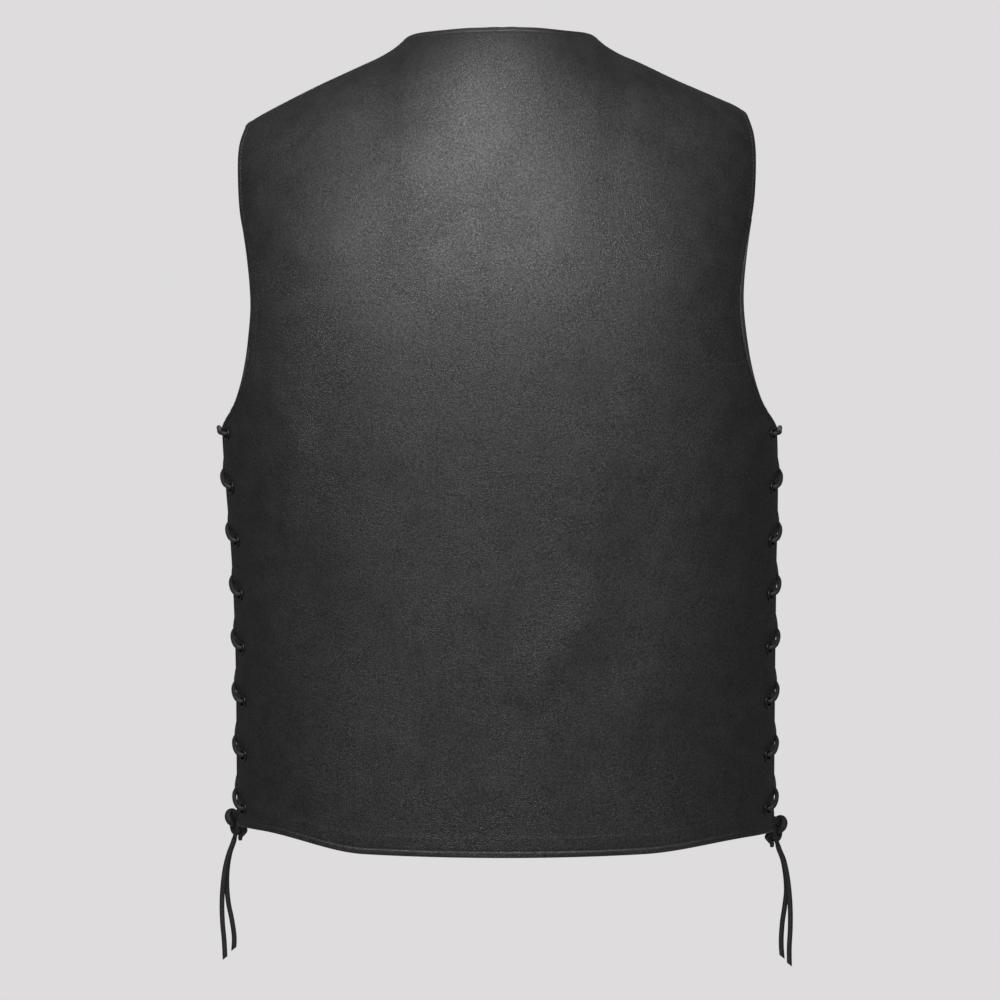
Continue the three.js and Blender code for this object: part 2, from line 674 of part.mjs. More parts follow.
const backWall = wall(backPoint, backColumns);
add("back_panel", drilled(backWall, [...eyeletsOf(1, "back"), ...eyeletsOf(-1, "back")], hole), LEATHER);

const leftWall = wall((across, up) => frontPoint(1, across, up, OVERLAP_LIFT), frontColumns);
const leftHoles = drilled(leftWall, eyeletsOf(1, "front"), hole);
add("front_left", drilled(leftHoles, leftSnaps, SNAP_POST + HOLE_PLAY), LEATHER);

const rightColumns = [...frontColumns].reverse();
const rightWall = wall((across, up) => frontPoint(-1, across, up, 0), rightColumns);
const rightHoles = drilled(rightWall, eyeletsOf(-1, "front"), hole);
add("front_right", drilled(rightHoles, rightSnaps, SNAP_POST + HOLE_PLAY), LEATHER);

// Lacing
for (const [name, side] of [["left", 1], ["right", -1]]) {
  for (const sheet of ["back", "front"]) {
    for (const k of eyeletLevels) {
      const turned = eyelet().rotateY(EYELET_TWIST * (k + 0.5));
      add(`eyelet_${name}_${sheet}_${k + 1}`, turned, BLACK_METAL, eyeletPlace(side, sheet, k));
    }
  }
  add(`lace_${name}`, tube(laceRoute(side), LACE, LACE_SIDES), LACE_LEATHER);
  const tied = new THREE.Mesh(knot(side), LACE_LEATHER);
  tied.name = `knot_${name}`;
  tied.position.copy(knotPlace(side).point);
  vest.add(tied);
  add(`lace_end_${name}_outer`, freeEnd(side, "outer"), LACE_LEATHER);
  add(`lace_end_${name}_inner`, freeEnd(side, "inner"), LACE_LEATHER);
}

// Press studs
SNAP_HEIGHTS.forEach((z, i) => {
  add(`snap_cap_${i + 1}`, snapCap(), BLACK_METAL, leftSnaps[i]);
  add(`snap_stud_${i + 1}`, snapStud(), BLACK_METAL, rightSnaps[i]);
});

export default vest;
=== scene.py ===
import math

import bpy
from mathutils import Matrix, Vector, kdtree, noise


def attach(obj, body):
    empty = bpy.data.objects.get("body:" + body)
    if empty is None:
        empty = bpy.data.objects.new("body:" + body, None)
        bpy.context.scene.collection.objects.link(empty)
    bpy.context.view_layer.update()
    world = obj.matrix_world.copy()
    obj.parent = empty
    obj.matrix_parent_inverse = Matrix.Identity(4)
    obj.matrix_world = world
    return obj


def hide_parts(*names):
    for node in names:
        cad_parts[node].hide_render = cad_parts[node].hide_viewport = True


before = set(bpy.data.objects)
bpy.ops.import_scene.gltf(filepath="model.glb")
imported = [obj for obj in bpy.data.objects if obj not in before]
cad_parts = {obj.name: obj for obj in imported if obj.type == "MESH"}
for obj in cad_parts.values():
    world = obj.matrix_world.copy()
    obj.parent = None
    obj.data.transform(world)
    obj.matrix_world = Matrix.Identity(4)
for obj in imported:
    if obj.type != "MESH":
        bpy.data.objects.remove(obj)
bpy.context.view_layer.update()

MM = 0.001

# Camera
CAMERA_AWAY = 3.0
CAMERA_ASIDE = 0.0022
CAMERA_HEIGHT = -0.3617
LENS = 132.5

# The form of the vest
WALL = 1.8
CHEST = -302
SEAM_GAP = 0.1
SHOULDER_SEAM_FORWARD = 15
NECK_HALF_WIDTH = 76.5
NECK_TO_NAPE = 67
SHOULDER_LEAN = 0.02
LEAN_FADE = 250
SWAY_SHOULDERS = 5
SWAY_HEM = -2.2
SWAY_HALF = 210
SWAY_FROM = -460
SWAY_TO = -200
OVERLAP_HALF = 15
OVERLAP_LIFT = 5
LIFT_FULL = 19
LIFT_END = 62
V_NECK_SHARE = 4 / 13
HEM_RISE_FROM = 110
HEM_RISE_TO = 195
NECK_ROUND_SHARE = 0.336
NECK_SHARE = 0.42
BACK_BEND = 1.4
NECK_BEND = 1.08
EDGE_PULL = 4

# Rows of height, half-width, depth behind, depth in front and squareness
GIRTH = [
    (-665, 218.8, 119, 124, 2.02),
    (-540, 219.2, 118, 124, 2.02),
    (-420, 221.2, 122, 129, 2.05),
    (-302, 225.4, 129, 135, 2.1),
    (-190, 217, 133, 134, 2.25),
    (-100, 215, 132, 126, 2.3),
    (60, 215, 132, 120, 2.3),
]
# Rows of distance from the middle, and height of the shoulder ridge on the left and on the right
RIDGE = [
    (0, 44.9, 44.9), (8, 44.8, 44.8), (30, 39.2, 38.5), (60, 24.4, 22), (75, 15.4, 12.8), (85, 7.2, 4.8),
    (97, 0, -2.4), (112, -6.8, -8.9), (145, -22.2, -24.4), (180, -39.8, -39.2), (196, -48.6, -46.4),
    (210, -58, -57.2),
]
# Rows of share of the height from armpit to shoulder, and half-width between the armholes behind and in front
ARMHOLE = [
    (0, 224.4, 224.4), (0.03, 219, 217), (0.09, 209, 205), (0.17, 200.8, 194), (0.27, 195.2, 186),
    (0.4, 192.9, 180), (0.55, 198.5, 180), (0.7, 206, 186), (0.84, 208.6, 192), (0.94, 207.8, 199),
    (1, 202.5, 200.5),
]
# The hem's height in the middle, its even curve, and its rise towards the left and right sides
HEM = {"back": (-642, 4.8, 11, 6), "front": (-637, 4, 6.5, 2)}
CROWN = {"back": 2.4, "front": 2.2}
OUTWARD = {"back": 1, "front": -1}
COLUMN = {"back": 2, "front": 3}

# Lacing
SIDE_GAP_HALF = 16
EYELET_DEPTH = 33.5
EYELET_COUNT = 8
TOP_EYELET = -308.3
EYELET_PITCH = 43.2
LACE = 3.6
LOOP_RADIUS = 4.8
EDGE_CLEARANCE = 2.85
CROSSING_OFFSET = 2.1
CROSSING_INWARD = 2.7
TIP_CUT = math.radians(38)
TIP_CUT_ABOVE = 3.4
KNOT = {"left": (-622.5, 0.8), "right": (-628, 1.8)}
KNOT_ENTRY = (0.356, 0.814, 0.458)
KNOT_STUB = 10
KNOT_REACH = 3.3
KNOT_WEAVE = 3
KNOT_THICKNESS = 5.9
STUB_LENGTH = 8.5
# The bight below each knot: how far each point lies inside the knot, behind it and below its middle
KNOT_BIGHT = [(0, 1, 3), (5.2, 2.6, 6), (7.4, 2.4, 8), (5.8, 2, 10.4), (3.8, 1.6, 13), (3.6, 1.2, 16.4)]
LACE_END = 4.1
BIGHT_THICKNESS = 4.6

# The free ends: how far each point lies outside the knot, behind it and below its middle
FREE_ENDS = {
    ("left", "outer"): [
        (1.3, 2.1, 15), (2.3, 2.3, 18.5), (5.2, 2.6, 26), (8.4, 3, 38), (10.3, 3.2, 52), (11.2, 3, 67),
        (10.8, 2.6, 83), (9.4, 2.4, 99), (8.6, 2.4, 115.5),
    ],
    ("left", "inner"): [
        (1.3, -2.1, 15), (2.2, -2.2, 18.5), (4.8, -2.4, 26), (7, -2.4, 38), (7.6, -2, 52), (6.4, -1.6, 67),
        (3.4, -1.6, 82), (1.6, -2, 96), (2.2, -2.4, 109),
    ],
    ("right", "outer"): [
        (1.3, 2.1, 15), (2.4, 2.3, 18.5), (5.6, 2.6, 26), (8.4, 3, 38), (10.2, 3.2, 52), (11.2, 3, 67),
        (11.2, 2.6, 83), (10.4, 2.4, 99), (10.6, 2.4, 115.5),
    ],
    ("right", "inner"): [
        (1.3, -2.1, 15), (2.3, -2.2, 18.5), (5.2, -2.4, 26), (7.5, -2.4, 38), (8.4, -2, 52), (7, -1.6, 65),
        (5, -1.6, 79), (4.2, -2, 95), (5.2, -2.4, 110),
    ],
}
SIDES = {"left": 1, "right": -1}

SNAP_HEIGHTS = [-256, -359, -462, -565]
HOLE_RADIUS = 4.3
SNAP_HOLE_RADIUS = 2.5

# Rows and columns of the fine panels: distances from an edge, then the spacing in between
EDGE_ROWS = [0, 0.6, 1.2, 1.8, 2.4, 3, 3.6, 4.2, 4.8, 5.4, 6.2, 7.4, 9, 10.6, 11.8]
HEM_ROWS = EDGE_ROWS + [13.4, 14.8, 15.8, 16.8, 18.2]
LACED_COLUMNS = EDGE_ROWS + [13.4, 15.4, 17.5, 19.6, 21.8, 24, 27]
ROW_STEP = 2.4
COLUMN_STEP = 4.2

# Turned and topstitched edges
EDGE_HALF = 0.35
ROLL = 1.2
BAND = 4.1
BAND_LIFT = 0.3
STITCH_INSET = 4.9
GROOVE = 0.38
GROOVE_WIDTH = 0.7
TURNED_IN = 11.2
HEM_TURNED_IN = 16.3
STITCH_PITCH = 3.5
STITCH_LENGTH = 2.8
THREAD_RADIUS = 0.3
CORNER_ROWS = 8

# Round cords: the sides of their tubes, and the share of the lace's thickness where it is held
TUBE_SIDES = 14
TUBE_SHARE = 0.97

# The floor under the vest
FLOOR_RADIUS = 1700
FLOOR_HEIGHT = -1200
FLOOR_SIDES = 96

# Rows of name, place, target, width, height and power
LIGHTS = [
    ("key", (0.08, 1.0, 0.24), (0, 0.1, -0.1), 1.2, 0.4, 13.6),
    ("top", (0.12, 0.66, 0.72), (0, 0.1, -0.1), 0.5, 0.5, 6.8),
    ("side_left", (0.85, 1.0, 0.2), (0.15, 0.1, -0.1), 0.5, 0.5, 2),
    ("side_right", (-0.85, 1.0, 0.2), (-0.15, 0.1, -0.1), 0.5, 0.5, 1.7),
    ("front", (0, -2.4, -0.1), (0, 0, -0.35), 1.4, 1.2, 30),
]
SEEN_COLOUR = (0.730, 0.716, 0.723, 1)
AMBIENT_COLOUR = (0.73, 0.73, 0.75, 1)
AMBIENT_STRENGTH = 0.175


def clamp(value, low, high):
    return max(low, min(high, value))


def lerp(a, b, share):
    return a + (b - a) * share


def smoothstep(value, low, high):
    t = clamp((value - low) / (high - low), 0, 1)
    return t * t * (3 - 2 * t)


def signed_power(value, power):
    return math.copysign(abs(value) ** power, value)


# Camera
lens = bpy.data.cameras.new("camera")
lens.lens = LENS
camera = bpy.data.objects.new("camera", lens)
camera.location = (CAMERA_ASIDE, CAMERA_AWAY, CAMERA_HEIGHT)
camera.rotation_euler = (math.pi / 2, 0, math.pi)
bpy.context.scene.collection.objects.link(camera)
bpy.context.scene.camera = camera


def along(table, at, column):
    """The value of one column of a table, on a smooth curve through its rows."""
    last = len(table) - 1
    i = 0
    while i < last - 1 and at > table[i + 1][0]:
        i += 1

    def slope(k):
        before = table[max(k - 1, 0)]
        after = table[min(k + 1, last)]
        return (after[column] - before[column]) / (after[0] - before[0])

    step = table[i + 1][0] - table[i][0]
    t = clamp((at - table[i][0]) / step, 0, 1)
    climb = table[i + 1][column] - table[i][column]
    bend = t * (1 - t) ** 2 * step * slope(i) - t * t * (1 - t) * step * slope(i + 1)
    return table[i][column] + t * t * (3 - 2 * t) * climb + bend


def ridge_height(x):
    return along(RIDGE, abs(x), 1 if x > 0 else 2)


def girth(sheet, z):
    return along(GIRTH, z, 1), along(GIRTH, z, COLUMN[sheet]), along(GIRTH, z, 4)


def depth_at(sheet, x, z):
    width, depth, square = girth(sheet, z)
    return depth * max(1 - (abs(x) / width) ** square, 0) ** (1 / square)


def posed(x, y, z):
    sway = lerp(SWAY_HEM, SWAY_SHOULDERS, smoothstep(z, SWAY_FROM, SWAY_TO))
    lean = SHOULDER_LEAN * x * smoothstep(z, -LEAN_FADE, 0)
    return Vector((x + sway * abs(x) / SWAY_HALF, y, z - lean))


def ring_point(sheet, z, angle):
    width, depth, square = girth(sheet, z)
    x = width * signed_power(math.sin(angle), 2 / square)
    y = depth * signed_power(math.cos(angle), 2 / square) * OUTWARD[sheet]
    return x, y, z


def angle_at_depth(sheet, z, distance):
    width, depth, square = girth(sheet, z)
    return math.acos((distance / depth) ** (square / 2))


def shoulder_point(sheet, x, turn):
    """Over the shoulders: turn is 0 at the armpits' height, a quarter turn on the ridge, more beyond it."""
    if turn > math.pi / 2:
        return shoulder_point("front" if sheet == "back" else "back", x, math.pi - turn)
    power = 2 / CROWN[sheet]
    z = CHEST + (ridge_height(x) - CHEST) * math.sin(turn) ** power
    y = depth_at(sheet, x, z) * max(math.cos(turn), 0) ** power * OUTWARD[sheet]
    return x, y, z


def sheet_point(sheet, x, z):
    if z < CHEST:
        return x, depth_at(sheet, x, z) * OUTWARD[sheet], z
    rise = (z - CHEST) / (ridge_height(x) - CHEST)
    return shoulder_point(sheet, x, math.asin(rise ** (CROWN[sheet] / 2)))


def turn_at_depth(sheet, x, distance):
    full = depth_at(sheet, x, ridge_height(x))
    return math.acos((distance / full) ** (CROWN[sheet] / 2))


def turn_share(sheet, row):
    rise = (1 - math.cos(math.pi * clamp(row, 0, 1))) / 2
    return math.asin(rise ** (CROWN[sheet] / 2)) / (math.pi / 2)


def hem_height(sheet, x):
    middle, curve, left, right = HEM[sheet]
    to_side = smoothstep(abs(x), HEM_RISE_FROM, HEM_RISE_TO)
    return middle + curve * (x / HEM_RISE_TO) ** 2 + (left if x > 0 else right) * to_side


def armhole_half_width(sheet, turn):
    rise = 1 if turn > math.pi / 2 else math.sin(turn) ** (2 / CROWN[sheet])
    return along(ARMHOLE, rise, 1 if sheet == "back" else 2)


def hanging_point(sheet, angle_at, row):
    middle = HEM[sheet][0]
    foot = ring_point(sheet, middle, angle_at(middle))
    z = lerp(hem_height(sheet, foot[0]), CHEST, row)
    return ring_point(sheet, z, angle_at(z))


def back_top(share):
    """Where a column of the back ends: on the back neck, on the side of the neck or on the shoulder seam."""
    seam_depth = SHOULDER_SEAM_FORWARD - SEAM_GAP / 2
    if share <= NECK_ROUND_SHARE:
        around = (share / NECK_ROUND_SHARE) * (math.pi / 2)
        x = NECK_HALF_WIDTH * math.sin(around)
        return x, turn_at_depth("back", x, NECK_TO_NAPE * max(math.cos(around), 0))
    if share <= NECK_SHARE:
        forward = (share - NECK_ROUND_SHARE) / (NECK_SHARE - NECK_ROUND_SHARE)
        seam = math.pi - turn_at_depth("front", NECK_HALF_WIDTH, seam_depth)
        return NECK_HALF_WIDTH, lerp(math.pi / 2, seam, forward)
    x = lerp(NECK_HALF_WIDTH, along(ARMHOLE, 1, 2), (share - NECK_SHARE) / (1 - NECK_SHARE))
    return x, math.pi - turn_at_depth("front", x, seam_depth)


def back_point(across, up):
    """A point of the back: across is -1 at the left and 1 at the right, up is 0 at the hem and 2 on top."""

    def angle_at(z):
        return -across * angle_at_depth("back", z, SIDE_GAP_HALF)

    if up <= 1:
        return posed(*hanging_point("back", angle_at, up))
    share = abs(across)
    top_x, top_turn = back_top(share)
    tip, edge_top = back_top(1)
    climbed = turn_share("back", up - 1)
    bend = climbed ** BACK_BEND
    start = abs(ring_point("back", CHEST, angle_at(CHEST))[0])
    corner = abs(ring_point("back", CHEST, angle_at_depth("back", CHEST, SIDE_GAP_HALF))[0])
    edge_turn = edge_top * climbed
    to_edge = 0
    if edge_turn <= math.pi / 2:
        to_edge = armhole_half_width("back", edge_turn) - lerp(corner, tip, bend)
    x = lerp(start, top_x, bend) + to_edge * share ** EDGE_PULL
    return posed(*shoulder_point("back", -math.copysign(x, across), top_turn * climbed))


def lifted(x, y, z, side, lift):
    """The left front stands out over the right one near the middle."""
    return posed(x, y - lift * (1 - smoothstep(side * x, LIFT_FULL, LIFT_END)), z)


def front_point(side, across, up, lift):
    """A point of a front: across is 0 at its front and neck edge and 1 at the side and armhole."""

    def angle_at(z):
        width, depth, square = girth("front", z)
        edge = -math.asin((OVERLAP_HALF / width) ** (square / 2))
        return side * lerp(edge, angle_at_depth("front", z, SIDE_GAP_HALF), across)

    if up <= 1:
        return lifted(*hanging_point("front", angle_at, up), side, lift)
    climbed = turn_share("front", up - 1)
    neck_share = max((up - 1 - V_NECK_SHARE) / (1 - V_NECK_SHARE), 0)
    neck_edge = lerp(-OVERLAP_HALF, NECK_HALF_WIDTH, neck_share ** NECK_BEND)
    top_x = lerp(NECK_HALF_WIDTH, along(ARMHOLE, 1, 2), across)
    turn = turn_at_depth("front", top_x, SHOULDER_SEAM_FORWARD + SEAM_GAP / 2) * climbed
    chest_x = side * ring_point("front", CHEST, angle_at(CHEST))[0]
    ring_share = (chest_x + OVERLAP_HALF) / (armhole_half_width("front", 0) + OVERLAP_HALF)
    x = lerp(neck_edge, armhole_half_width("front", turn), lerp(ring_share, across, climbed))
    return lifted(*shoulder_point("front", side * x, turn), side, lift)


def side_place(side, around, z, out):
    """A place on a laced side: round the body from the side line, by height, and out from the leather."""

    def at(distance):
        sheet = "front" if distance < 0 else "back"
        x, y, height = ring_point(sheet, z, angle_at_depth(sheet, z, abs(distance)))
        return posed(x * side, y, height)

    step = 0.5
    tangent = at(around + step) - at(around - step)
    normal = (Vector((tangent.y, -tangent.x, 0)) * side).normalized()
    return at(around) + normal * out, normal


def eyelet_height(k):
    return TOP_EYELET - k * EYELET_PITCH


def eyelet_place(side, sheet, k):
    return side_place(side, OUTWARD[sheet] * EYELET_DEPTH, eyelet_height(k), 0)


def knot_middle(name):
    z, out = KNOT[name]
    return side_place(SIDES[name], 0, z, out)[0]


# Building meshes
def mesh_object(name, points, faces, materials, smooth=True):
    mesh = bpy.data.meshes.new(name)
    mesh.from_pydata([point * MM for point in points], [], faces)
    mesh.polygons.foreach_set("use_smooth", [smooth] * len(mesh.polygons))
    for material in materials:
        mesh.materials.append(material)
    mesh.update()
    piece = bpy.data.objects.new(name, mesh)
    bpy.context.scene.collection.objects.link(piece)
    return piece


def rounded(points, steps):
    """Points on a smooth curve through the given ones."""
    result = []
    last = len(points) - 1
    for i in range(last):
        p1, p2 = points[i], points[i + 1]
        p0 = points[i - 1] if i > 0 else p1 * 2 - p2
        p3 = points[i + 2] if i + 1 < last else p2 * 2 - p1
        d0, d1, d2 = (max((b - a).length ** 0.5, 1e-4) for a, b in ((p0, p1), (p1, p2), (p2, p3)))
        m1 = ((p1 - p0) / d0 - (p2 - p0) / (d0 + d1) + (p2 - p1) / d1) * d1
        m2 = ((p2 - p1) / d1 - (p3 - p1) / (d1 + d2) + (p3 - p2) / d2) * d1
        for k in range(steps):
            t = k / steps
            result.append(
                p1 * (2 * t ** 3 - 3 * t * t + 1) + m1 * (t ** 3 - 2 * t * t + t)
                + p2 * (3 * t * t - 2 * t ** 3) + m2 * (t ** 3 - t * t)
            )
    return result + [points[last].copy()]


def tube(route, radius, sides, closed=False):
    """Points and faces of a tube along a route, with its ends closed. radius is a function of the ring."""
    count = len(route)
    points = []
    faces = []
    across = None
    for i in range(count):
        after = route[(i + 1) % count] if closed else route[min(i + 1, count - 1)]
        before = route[i - 1] if closed else route[max(i - 1, 0)]
        ahead = (after - before).normalized()
        if across is None:
            across = ahead.orthogonal()
        across = (across - ahead * across.dot(ahead)).normalized()
        other = ahead.cross(across)
        for k in range(sides):
            angle = 2 * math.pi * k / sides
            points.append(route[i] + (across * math.cos(angle) + other * math.sin(angle)) * radius(i))
    rings = count if closed else count - 1
    for i in range(rings):
        a, b = i * sides, ((i + 1) % count) * sides
        for k in range(sides):
            m = (k + 1) % sides
            faces.append((a + k, a + m, b + m, b + k))
    if not closed:
        faces.append(tuple(reversed(range(sides))))
        faces.append(tuple((count - 1) * sides + k for k in range(sides)))
    return points, faces


def lathe(profile, sides, place):
    """Points and faces of a turned ring or body. Its profile is a closed or an axis-to-axis line."""
    point, normal = place
    turn = normal.to_track_quat("Z", "Y").to_matrix()
    points = []
    faces = []
    for r, height in profile:
        for k in range(sides):
            angle = 2 * math.pi * k / sides
            points.append(point + turn @ Vector((r * math.cos(angle), r * math.sin(angle), height)))
    rows = len(profile)
    for j in range(rows):
        if j == rows - 1 and profile[0][0] == 0:
            break
        n = (j + 1) % rows
        for k in range(sides):
            m = (k + 1) % sides
            faces.append((j * sides + k, j * sides + m, n * sides + m, n * sides + k))
    return points, faces


def joined(parts):
    points = []
    faces = []
    for part_points, part_faces in parts:
        base = len(points)
        points += part_points
        faces += [tuple(base + v for v in face) for face in part_faces]
    return points, faces


# Materials
def new_material(name):
    material = bpy.data.materials.new(name)
    material.use_nodes = True
    nodes = material.node_tree.nodes
    return material, nodes, material.node_tree.links, nodes["Principled BSDF"]


def texture(nodes, links, kind, source, **settings):
    """A procedural texture at the object's own coordinates, in metres."""
    node = nodes.new(kind)
    for key, value in settings.items():
        if hasattr(node, key):
            setattr(node, key, value)
        else:
            node.inputs[key].default_value = value
    links.new(source, node.inputs["Vector"])
    return node


def ramp(nodes, links, source, stops):
    node = nodes.new("ShaderNodeValToRGB")
    elements = node.color_ramp.elements
    for i, (at, colour) in enumerate(stops):
        element = elements[i] if i < 2 else elements.new(at)
        element.position = at
        element.color = (*colour, 1)
    links.new(source, node.inputs["Fac"])
    return node


def ranged(nodes, links, source, low, high, to_low, to_high):
    node = nodes.new("ShaderNodeMapRange")
    node.inputs["From Min"].default_value = low
    node.inputs["From Max"].default_value = high
    node.inputs["To Min"].default_value = to_low
    node.inputs["To Max"].default_value = to_high
    links.new(source, node.inputs["Value"])
    return node


def maths(nodes, links, operation, *values):
    node = nodes.new("ShaderNodeMath")
    node.operation = operation
    for i, value in enumerate(values):
        if isinstance(value, (int, float)):
            node.inputs[i].default_value = value
        else:
            links.new(value, node.inputs[i])
    return node.outputs[0]


def bumped(nodes, links, height, distance, strength, normal=None):
    node = nodes.new("ShaderNodeBump")
    node.inputs["Distance"].default_value = distance
    node.inputs["Strength"].default_value = strength
    links.new(height, node.inputs["Height"])
    if normal is not None:
        links.new(normal, node.inputs["Normal"])
    return node.outputs["Normal"]


def leather_material(name, dark, light, roughness, grain, grain_depth, shine_low=0.4, shine_high=0.6):
    """Grained hide: pebbles between fine furrows, patches of stronger and weaker grain, and rubbed edges."""
    material, nodes, links, shader = new_material(name)
    place = nodes.new("ShaderNodeTexCoord").outputs["Object"]
    bend = texture(nodes, links, "ShaderNodeTexNoise", place, Scale=grain * 0.55, Detail=2.0)
    shift = nodes.new("ShaderNodeVectorMath")
    shift.operation = "MULTIPLY_ADD"
    shift.inputs[1].default_value = (1.2 / grain,) * 3
    links.new(bend.outputs["Color"], shift.inputs[0])
    links.new(place, shift.inputs[2])
    cells = texture(
        nodes, links, "ShaderNodeTexVoronoi", shift.outputs[0], feature="DISTANCE_TO_EDGE", Scale=grain,
    )
    pebbles = ranged(nodes, links, cells.outputs["Distance"], 0.0, 0.3, 0.0, 1.0)
    pebbles.interpolation_type = "SMOOTHSTEP"
    fine = texture(nodes, links, "ShaderNodeTexNoise", place, Scale=grain * 2.2, Detail=3.0)
    mottle = texture(nodes, links, "ShaderNodeTexNoise", place, Scale=60.0, Detail=4.0, Roughness=0.6)
    patches = texture(nodes, links, "ShaderNodeTexNoise", place, Scale=17.0, Detail=2.0)
    strength = ranged(nodes, links, patches.outputs["Fac"], 0.35, 0.62, 0.35, 1.0)
    grained = maths(nodes, links, "MULTIPLY", pebbles.outputs["Result"], strength.outputs["Result"])
    speck = texture(nodes, links, "ShaderNodeTexNoise", place, Scale=grain * 1.1, Detail=1.0)
    specked = ranged(nodes, links, speck.outputs["Fac"], 0.32, 0.68, 0.0, 1.0)
    half = maths(nodes, links, "MULTIPLY", pebbles.outputs["Result"], 0.5)
    fleck = maths(nodes, links, "MULTIPLY_ADD", specked.outputs["Result"], 0.5, half)
    wear = nodes.new("ShaderNodeAttribute")
    wear.attribute_name = "wear"
    rubbed = maths(nodes, links, "MULTIPLY", wear.outputs["Fac"], 0.15)
    tone = maths(nodes, links, "ADD", mottle.outputs["Fac"], rubbed)
    colour = ramp(nodes, links, tone, [(0.3, dark), (0.8, light)])
    links.new(colour.outputs["Color"], shader.inputs["Base Color"])
    rough = ranged(nodes, links, mottle.outputs["Fac"], 0.3, 0.7, roughness - 0.04, roughness + 0.04)
    furrow = ranged(nodes, links, grained, 0.0, 1.0, 0.06, 0.0)
    shine = ranged(nodes, links, fleck, 0.1, 0.9, shine_low, shine_high)
    links.new(shine.outputs["Result"], shader.inputs["Specular IOR Level"])
    total = maths(nodes, links, "ADD", rough.outputs["Result"], furrow.outputs["Result"])
    total = maths(nodes, links, "SUBTRACT", total, maths(nodes, links, "MULTIPLY", wear.outputs["Fac"], 0.08))
    links.new(total, shader.inputs["Roughness"])
    normal = bumped(nodes, links, mottle.outputs["Fac"], 0.001, 0.35)
    normal = bumped(nodes, links, grained, grain_depth, 0.9, normal)
    normal = bumped(nodes, links, fine.outputs["Fac"], grain_depth * 0.6, 0.6, normal)
    links.new(normal, shader.inputs["Normal"])
    return material


leather = leather_material(
    "leather", dark=(0.0085, 0.0087, 0.0091), light=(0.0145, 0.0149, 0.0156), roughness=0.47, grain=560,
    grain_depth=0.00021, shine_low=0.28, shine_high=0.74,
)
flesh_side = leather_material(
    "leather_inside", dark=(0.012, 0.012, 0.0122), light=(0.024, 0.0236, 0.023), roughness=0.82, grain=1500,
    grain_depth=0.0001,
)
lace_leather = leather_material(
    "lace_leather", dark=(0.008, 0.008, 0.0083), light=(0.014, 0.0141, 0.0146), roughness=0.6, grain=1300,
    grain_depth=0.00008,
)


def metal_material():
    material, nodes, links, shader = new_material("black_metal")
    place = nodes.new("ShaderNodeTexCoord").outputs["Object"]
    rubs = texture(nodes, links, "ShaderNodeTexNoise", place, Scale=900.0, Detail=4.0)
    tones = [(0.35, (0.014, 0.014, 0.0145)), (0.75, (0.045, 0.045, 0.046))]
    colour = ramp(nodes, links, rubs.outputs["Fac"], tones)
    links.new(colour.outputs["Color"], shader.inputs["Base Color"])
    rough = ranged(nodes, links, rubs.outputs["Fac"], 0.3, 0.7, 0.28, 0.44)
    links.new(rough.outputs["Result"], shader.inputs["Roughness"])
    shader.inputs["Metallic"].default_value = 0.75
    fine = texture(nodes, links, "ShaderNodeTexNoise", place, Scale=2500.0, Detail=2.0)
    links.new(bumped(nodes, links, fine.outputs["Fac"], 0.00004, 0.4), shader.inputs["Normal"])
    return material


def thread_material():
    material, nodes, links, shader = new_material("thread")
    place = nodes.new("ShaderNodeTexCoord").outputs["Object"]
    twist = texture(nodes, links, "ShaderNodeTexWave", place, Scale=900.0, Distortion=3.0)
    tones = [(0.2, (0.012, 0.012, 0.0125)), (0.9, (0.045, 0.045, 0.047))]
    colour = ramp(nodes, links, twist.outputs["Fac"], tones)
    links.new(colour.outputs["Color"], shader.inputs["Base Color"])
    shader.inputs["Roughness"].default_value = 0.6
    links.new(bumped(nodes, links, twist.outputs["Fac"], 0.0001, 0.6), shader.inputs["Normal"])
    return material


black_metal = metal_material()
thread = thread_material()


def finished(piece, slot, *nodes):
    """Rides on the vest and stands for the given nodes. slot is not used."""
    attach(piece, "root")
    if nodes:
        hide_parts(*nodes)
    return piece


# The free ends of the laces
def free_end(name, which):
    side = SIDES[name]
    middle = knot_middle(name)
    offsets = FREE_ENDS[name, which]
    route = rounded([middle + Vector((side * out, behind, -below)) for out, behind, below in offsets], 6)
    points, faces = tube(route, lambda i: LACE_END / 2, TUBE_SIDES)
    tip = route[-1] + Vector((0, 0, TIP_CUT_ABOVE))
    removed = Vector((-math.sin(side * TIP_CUT), 0, -math.cos(TIP_CUT)))
    run = (route[-1] - route[-4]).normalized()
    for point in points:
        past = (point - tip).dot(removed)
        if past > 0:
            point -= run * (past / run.dot(removed))
    piece = mesh_object(f"{name}_lace_end_{which}", points, faces, [lace_leather])
    finished(piece, "lace_leather", f"lace_end_{name}_{which}")
    line = [point for point in route if (point - tip).dot(removed) < 0]
    path = [tuple(point * MM) for point in line]
    length = sum((b - a).length for a, b in zip(line, line[1:])) * MM
    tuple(path[0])
    return piece


for name in SIDES:
    for which in ("outer", "inner"):
        free_end(name, which)


# The knots
def knot_entry(side, sign, distance):
    inward, around, up = KNOT_ENTRY
    return Vector((-side * inward, sign * around, up)) * distance


